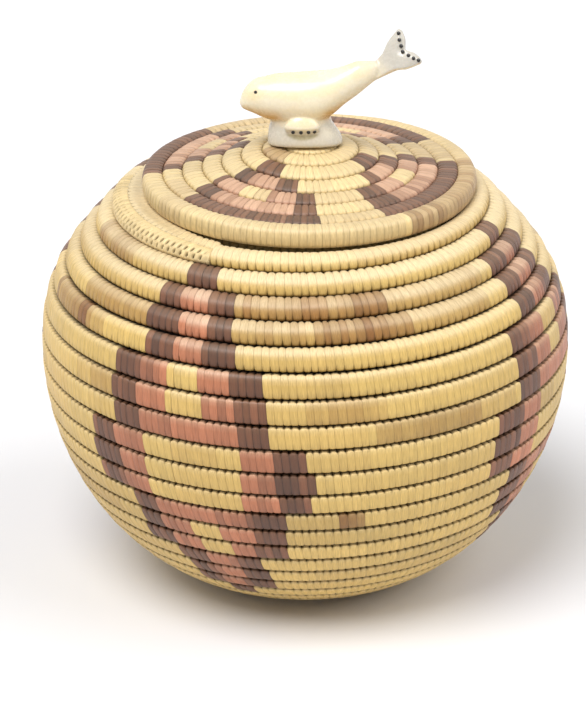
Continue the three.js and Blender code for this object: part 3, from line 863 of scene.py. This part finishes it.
for row in range(1, RIM_ROW):
    node = f"base_row_{row}" if row < 5 else f"wall_row_{row - 4:02d}"
    before_tail = row == RIM_ROW - 1
    end, width = (OPEN_WORK_START, open_work_width) if before_tail else (row + 1.0, np.ones_like)
    section = row_section(row, WALL, wall_edge, HALF, width, slims=False)
    # Each row is painted paler above its ridge as a painted highlight, more towards the shoulder
    mesh = wall_mesh(node, row, section, end, ridge=wall_ridge(wall_tilt(row)),
                     later=wall_profile(wall_tilt(row + 1)), later_share=lambda at, row=row: at - row,
                     bleach=1 + SHOULDER_HIGHLIGHT * float(rounded((row - 20) / 4)))
    if before_tail:
        mesh = joined(node, [mesh, open_work_mesh("open_work", section, 400)])
    finished(node, mesh, "basket", "grass")

# Painted highlight: the rim row is painted paler above a ridge that falls away along its second half
mesh = wall_mesh("rim_row", RIM_ROW, rim_section, RIM_ROW + 1.0, bleach=1 + SHOULDER_HIGHLIGHT,
                 ridge=lambda at: wall_ridge(wall_tilt(RIM_ROW)) - rounded((at - RIM_ROW - 0.5) / 0.2))
finished("rim_row", mesh, "basket", "grass")

LID_LAST_ROW = 7
for row in range(1, LID_LAST_ROW + 1):
    last_row = row == LID_LAST_ROW
    before_last = row == LID_LAST_ROW - 1
    node = "lid_edge_row" if last_row else f"lid_row_{row}"
    end = row + (LID_TAIL_END if last_row else 1.0)
    section = row_section(row, LID, lid_edge, LID_HALF, lid_tail_width if last_row else np.ones_like)
    # Where the edge row has ended, the row before it is the free one
    # The lid's rows are painted paler over nearly their whole width, as a painted highlight
    mesh = coil_mesh(node, section, lid_rim_profile() if last_row else lid_profile(), (row, end),
                     stitches_in(LID, lid_edge, row, end, LID_STITCH), fan_dye, LID_TANS, 200 + row,
                     notch=0.35 if last_row else 1.0, later=lid_rim_profile() if before_last else None,
                     later_share=lambda at: rounded((at - 6.6) / 0.1), ridge=LID_RIDGE, edges=LID_EDGES)
    finished(node, mesh, "lid", "grass")


def start_piece(node, line, edge, half, hole, body, seed):
    """The coil's start: a snail-shaped button, with a hole or without, and the first turn round it."""
    meshes = []
    for first, last, radius in ((-0.82, 0.0, 4), (0.0, 1.0, 9)):
        def section(at, s, out, outward, inset, first=first):
            low = np.maximum(edge(at) - ROW_LAP, hole + 0.8 if hole else 0.05)
            if first < 0:
                low = np.full_like(at, hole if hole else 0.05)
            high = np.maximum(edge(at + 1) + ROW_LAP, low + 0.6)
            return line.offset(np.maximum(across(low, high, s, inset, 0.4), 0.02), half * out + outward)
        count = max(8, round(math.tau * radius * (last - first) / LID_STITCH))
        tans = LID_TANS if body == "lid" else []
        # The start is painted paler as a highlight, as the lid's rows are
        meshes.append(coil_mesh(node, section, lid_profile(), (first, last), count, undyed, tans,
                                seed + int(last), ridge=LID_RIDGE, edges=LID_EDGES))
    finished(node, joined(node, meshes), body, "grass")


start_piece("base_start", WALL, wall_edge, HALF, hole=0.0, body="basket", seed=300)
start_piece("lid_start", LID, lid_edge, LID_HALF, hole=2.3, body="lid", seed=310)


def ring_piece(node, radius, bottom, thickness, seed):
    """One closed ring of coil, whose two ends are sewn together."""
    half = thickness / 2

    def section(at, s, out, outward, inset):
        return radius + s * half - np.sign(s) * inset, bottom + half + out * half * 0.98 + outward
    count = round(math.tau * radius / STITCH)
    mesh = coil_mesh(node, section, lid_profile(MEET, 3.0), (0.0, 1.0), count, undyed, [], seed)
    bm = bmesh.new()
    bm.from_mesh(mesh)
    caps = [f for f in bm.faces if len(f.verts) > 4]
    bmesh.ops.delete(bm, geom=caps, context="FACES_ONLY")
    bmesh.ops.remove_doubles(bm, verts=bm.verts, dist=2e-5)
    bm.to_mesh(mesh)
    bm.free()
    finished(node, mesh, "lid", "grass")


ring_piece("lid_flange", radius=39.5, bottom=107.7, thickness=6.4, seed=330)


# ---- the carved whale
WHALE_LENGTH = 39.6
WHALE_HEIGHT = 15.0
WHALE_DEPTH = 14.0
NOSE_X = -0.465 * WHALE_LENGTH
PAD_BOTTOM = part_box("whale_carving")[0].z / MM
PAD_LENGTH = 21.0
PAD_DEPTH = 14.6
FLIPPER_X = -0.04 * PAD_LENGTH
BELLY_ABOVE_PAD = 12.0
FLUKE_LENGTH = 10.7
FLUKE_SPAN = 12.0
FLUKE_THICKNESS = 2.6
# Places along the body from nose to tail: how high its middle is there, and how high and deep the body is
STATIONS = np.array([0, 0.035, 0.106, 0.182, 0.263, 0.389, 0.54, 0.652, 0.742, 0.833, 0.919, 1])
MIDDLES = np.array([0.72, 0.79, 0.85, 0.833, 0.827, 0.807, 0.833, 0.933, 1.073, 1.207, 1.307, 1.4])
HEIGHTS = np.array([0.13, 0.37, 0.64, 0.79, 0.9, 0.985, 1, 0.865, 0.73, 0.64, 0.45, 0.3])
DEPTHS = np.array([0.1, 0.33, 0.62, 0.79, 0.91, 0.985, 1, 0.86, 0.66, 0.5, 0.36, 0.24])
# The flukes' own directions: from root to tips, square to their face, and across
ALONG = Vector((0.774, 0, 0.633)).normalized()
FACE = ALONG.cross(Vector((-0.56, 0.53, 0.56)).normalized()).normalized()
SIDE = FACE.cross(ALONG).normalized()
# A fine skin needs a large blank, so the carving is joined at this many times its size
CARVED_SCALE = 100.0
CARVED_GRAIN = 0.24


def eased(x, xs, ys):
    """Values between given ones, along a smooth line."""
    slopes = np.gradient(ys, xs)
    i = np.clip(np.searchsorted(xs, x) - 1, 0, len(xs) - 2)
    w = xs[i + 1] - xs[i]
    t = (x - xs[i]) / w
    return ((2 * t ** 3 - 3 * t ** 2 + 1) * ys[i] + (t ** 3 - 2 * t ** 2 + t) * w * slopes[i]
            + (3 * t ** 2 - 2 * t ** 3) * ys[i + 1] + (t ** 3 - t ** 2) * w * slopes[i + 1])


def whale_section(x):
    """The height of the body's middle, and half its height and depth, so far along it."""
    share = (x - NOSE_X) / WHALE_LENGTH
    middle, tall, deep = (float(eased(share, STATIONS, values)) for values in (MIDDLES, HEIGHTS, DEPTHS))
    return PAD_BOTTOM + middle * WHALE_HEIGHT, tall * WHALE_HEIGHT / 2, deep * WHALE_DEPTH / 2


def fluke_root():
    x = NOSE_X + WHALE_LENGTH
    return Vector((x, 0, whale_section(x)[0]))


def ball(bm, around, rings):
    return bmesh.ops.create_uvsphere(bm, u_segments=around, v_segments=rings, radius=1.0)["verts"]


def ball_points(bm, around, rings, first_pole=1):
    """A ball's points, each with its way from pole to pole, its distance from the axis and its turn."""
    for vert in ball(bm, around, rings):
        polar = math.acos(max(-1.0, min(1.0, first_pole * vert.co.z))) / math.pi
        yield vert, polar, math.hypot(vert.co.x, vert.co.y), math.atan2(vert.co.y, vert.co.x)


def add_body(bm):
    for vert, polar, ring, turn in ball_points(bm, 48, 60):
        share = 0.35 * (1 - math.cos(polar * math.pi)) / 2 + 0.65 * polar
        x = NOSE_X + share * WHALE_LENGTH
        middle, tall, deep = whale_section(x)
        close = min(1.0, ring / 0.08) if share < 0.5 else min(1.0, ring / 0.2) ** 0.5
        vert.co = Vector((x, deep * close * math.cos(turn), middle + tall * close * math.sin(turn)))


def add_pad(bm):
    """The pad and the block above it: nearly upright towards the nose, drawn in towards the tail."""
    heights = [0, 0.3, 1.0, 2.0, 3.5, 5.2, 7.0, BELLY_ABOVE_PAD]
    nose_side = [0.95, 1.0, 1.0, 0.99, 0.97, 0.92, 0.88, 0.86]
    tail_side = [0.95, 1.0, 1.0, 0.95, 0.83, 0.72, 0.67, 0.66]
    depths = [0.92, 0.98, 1.0, 0.98, 0.9, 0.82, 0.78, 0.76]
    for vert, polar, ring, turn in ball_points(bm, 48, 40, first_pole=-1):
        rise = min(1.0, max(0.0, (polar - 0.12) / 0.76)) * BELLY_ABOVE_PAD
        close = min(1.0, ring / 0.368)
        side = tail_side if math.cos(turn) > 0 else nose_side
        x = float(np.interp(rise, heights, side)) * PAD_LENGTH / 2 * close * math.cos(turn)
        y = float(np.interp(rise, heights, depths)) * PAD_DEPTH / 2 * close * math.sin(turn)
        # The underside follows the crown of the lid
        sag = (0.012 * x * x + 0.005 * y * y) * max(0.0, 1 - rise / 3.2)
        vert.co = Vector((x, y, PAD_BOTTOM + rise - sag))


def fluke_mesh():
    """Both flukes from one block, with their front and back edges given for places across them."""
    bm = bmesh.new()
    bmesh.ops.create_cube(bm, size=2.0)
    bmesh.ops.subdivide_edges(bm, edges=bm.edges[:], cuts=15, use_grid_fill=True)
    lead_across = [0, 0.34, 0.38, 0.48, 0.76, 0.95, 1.0]
    lead_along = [-0.42, -0.42, 0.02, 0.26, 0.5, 0.78, 0.93]
    trail_across = [0, 0.2, 0.42, 0.84, 1.0]
    trail_along = [0.78, 0.86, 0.95, 1.0, 0.95]
    root = fluke_root()
    for vert in bm.verts:
        across = vert.co.y
        lead = float(np.interp(abs(across), lead_across, lead_along))
        trail = float(np.interp(abs(across), trail_across, trail_along))
        along = lead + (trail - lead) * (vert.co.x + 1) / 2
        rim = min(1 - abs(across), (1 - vert.co.x) / 2 * 1.6, 1.0)
        thick = FLUKE_THICKNESS / 2 * (0.5 + 0.5 * float(rounded(rim / 0.35)))
        thick *= 0.3 + 0.7 * float(rounded((along + 0.42) / 0.5))
        vert.co = (root + ALONG * along * FLUKE_LENGTH + SIDE * across * FLUKE_SPAN / 2
                   + FACE * vert.co.z * thick)
    return mesh_from(bm, "flukes")


def add_flipper(bm, side):
    """A folded flipper: a lip that stands out at its lower edge and merges into the block above."""
    middle = Vector((FLIPPER_X, side * 0.4 * PAD_DEPTH, PAD_BOTTOM + 5.6))
    for vert in ball(bm, 40, 28):
        x, y, z = vert.co
        reach = 2.25 * (1 - 0.35 * max(0.0, z)) * (1 - 0.38 * min(1.0, max(0.0, -z) / 0.4))
        vert.co = middle + Vector((x * (5.1 - 0.8 * max(0.0, z)), y * reach, z * (3.4 if z > 0 else 2.5)))


def joined_carving():
    """The parts of the carving as one skin, eased where they meet, as a polished carving is."""
    bm = bmesh.new()
    add_body(bm)
    add_pad(bm)
    bm.from_mesh(fluke_mesh())
    add_flipper(bm, -1)
    add_flipper(bm, 1)
    bmesh.ops.recalc_face_normals(bm, faces=bm.faces)
    bmesh.ops.scale(bm, verts=bm.verts, vec=(CARVED_SCALE * MM,) * 3)
    carved = placed("carving_blank", mesh_from(bm, "carving_blank"))
    skin = carved.modifiers.new("skin", "REMESH")
    skin.mode = "VOXEL"
    skin.voxel_size = CARVED_GRAIN * CARVED_SCALE * MM
    ease = carved.modifiers.new("ease", "SMOOTH")
    ease.factor = 0.5
    ease.iterations = 16
    graph = bpy.context.evaluated_depsgraph_get()
    done = bpy.data.meshes.new_from_object(carved.evaluated_get(graph))
    bpy.data.objects.remove(carved)
    done.transform(Matrix.Scale(1 / CARVED_SCALE, 4))
    return done


def ivory_tones(mesh):
    """The warm core shows in the body only. Painted shade makes it browner where it turns under, and olive in
    the hollows under the flippers' lips.
    """
    co = points_of(mesh) / MM
    up = points_of(mesh, "normal")[:, 2]
    x, y, z = co[:, 0], co[:, 1], co[:, 2] - PAD_BOTTOM
    core = rounded((z - 2.6 - 0.22 * np.maximum(x, 0) - 0.1 * np.abs(x)) / 4.5)
    along = (co - np.array(fluke_root())) @ np.array(ALONG)
    core = np.maximum(core, 0.22) * (1 - rounded((along + 6.0) / 10.0))
    core = np.maximum(core, 0.85 * rounded((-up - 0.1) / 0.4) * rounded((x - 12) / 4))
    # Painted shade, brown, where the body turns under in a band above the pad
    under = 0.5 + 0.5 * rounded((-up + 0.1) / 0.7)
    side = 0.15 + 0.85 * rounded((np.abs(x + 1) - 4.0) / 4.0)
    band = rounded((z - 5.4) / 2.4) * rounded((12.0 + 0.28 * np.maximum(x - 4, 0) - z) / 4.4)
    deep = 1.15 * side * under * band * rounded((19 - x) / 9)
    # Painted shade, olive, in the hollows under the flippers' lips
    off_flipper = np.abs(x - FLIPPER_X) / 5.0
    low = 1.7 + 1.4 * off_flipper ** 2
    lip_shade = 0.8 * rounded((z - low) / 0.9) * rounded((4.0 - z) / 0.7) * rounded((1.05 - off_flipper) / 0.3)
    lip_shade = lip_shade * rounded((np.abs(y) - 4.2) / 1.0)
    return np.stack([core, deep, lip_shade, np.ones_like(core)], 1)


def whale_piece():
    done = joined_carving()
    tones = done.attributes.new("tones", "FLOAT_COLOR", "POINT")
    tones.data.foreach_set("color", ivory_tones(done).ravel())
    finished("whale_carving", done, "lid", "ivory")


whale_piece()


# ---- the inlaid dots
DOT_RADIUS = 0.52
DOT_DOME = 0.22
DOT_DEPTH = 1.1


def dot_piece(node, direction):
    """A round black plug, slightly domed, over the place of its CAD node."""
    low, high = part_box(node)
    out = Vector(direction).normalized()
    middle = (low + high) / 2
    top = middle + out * 0.7 * MM
    turn = Vector((0, 0, 1)).rotation_difference(out).to_matrix()
    bm = bmesh.new()
    for vert in ball(bm, 20, 12):
        x, y, z = vert.co
        rise = z * (DOT_DOME if z > 0 else DOT_DEPTH) - 0.08
        vert.co = top + turn @ Vector((x * DOT_RADIUS, y * DOT_RADIUS, rise)) * MM
    finished(node, mesh_from(bm, node), "lid", "inlay")


for side, label in ((-1, "front"), (1, "back")):
    dot_piece(f"eye_{label}", (-0.45, side, 0))
    for number in range(1, 5):
        dot_piece(f"flipper_dot_{label}_{number}", (0, side, 0))
for number in range(1, 8):
    dot_piece(f"fluke_dot_{number}", FACE)

peg_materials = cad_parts["knob_peg"].data.materials
peg_materials.clear()
peg_materials.append(PEG_WOOD)


# ---- floor and lights
def make_floor():
    """White paper, with the faint unevenness of a real sheet."""
    bm = bmesh.new()
    bmesh.ops.create_grid(bm, x_segments=1, y_segments=1, size=6.0)
    floor = placed("floor", mesh_from(bm, "floor"))
    material, nodes, surface = new_material("white_paper")
    colour, _ = handled(nodes, (*linear(232, 232, 234), 1), nodes.place(), scale=4.0, amount=0.012)
    nodes.fill(surface, {"Base Color": colour, "Roughness": 0.75})
    floor.data.materials.append(material)


def sun_light(name, towards_right, elevation, strength, spread):
    """A soft lamp: its place to the right of the front, its height and its width in degrees."""
    lamp = placed(name, bpy.data.lights.new(name, "SUN"))
    lamp.data.energy = strength
    lamp.data.angle = math.radians(spread)
    side, rise = math.radians(towards_right), math.radians(elevation)
    place = Vector((math.sin(side) * math.cos(rise), -math.cos(side) * math.cos(rise), math.sin(rise)))
    lamp.location = place * 2
    lamp.rotation_mode = "QUATERNION"
    lamp.rotation_quaternion = place.to_track_quat("Z", "Y")


# The camera and reflections see a white world, which lights the basket at this level
WORLD_LEVEL = 0.3


def make_world():
    world = bpy.data.worlds.new("studio")
    scene.world = world
    world.use_nodes = True
    nodes = Nodes(world.node_tree)
    world.node_tree.nodes.clear()
    ray = nodes.add("LightPath").outputs
    seen = nodes.math("MAXIMUM", ray["Is Camera Ray"], ray["Is Transmission Ray"])
    seen = nodes.math("MAXIMUM", seen, ray["Is Glossy Ray"])
    strength = nodes.between(seen, 0.0, 1.0, WORLD_LEVEL, 1.0)
    back = nodes.add("Background", {"Color": (1, 1, 1, 1), "Strength": strength})
    nodes.add("OutputWorld", {"Surface": back.outputs[0]})


make_floor()
make_world()
sun_light("key", towards_right=-30, elevation=60, strength=2.5, spread=34)
sun_light("left_fill", towards_right=-85, elevation=45, strength=0.5, spread=50)
sun_light("right_fill", towards_right=74, elevation=46, strength=1.3, spread=46)
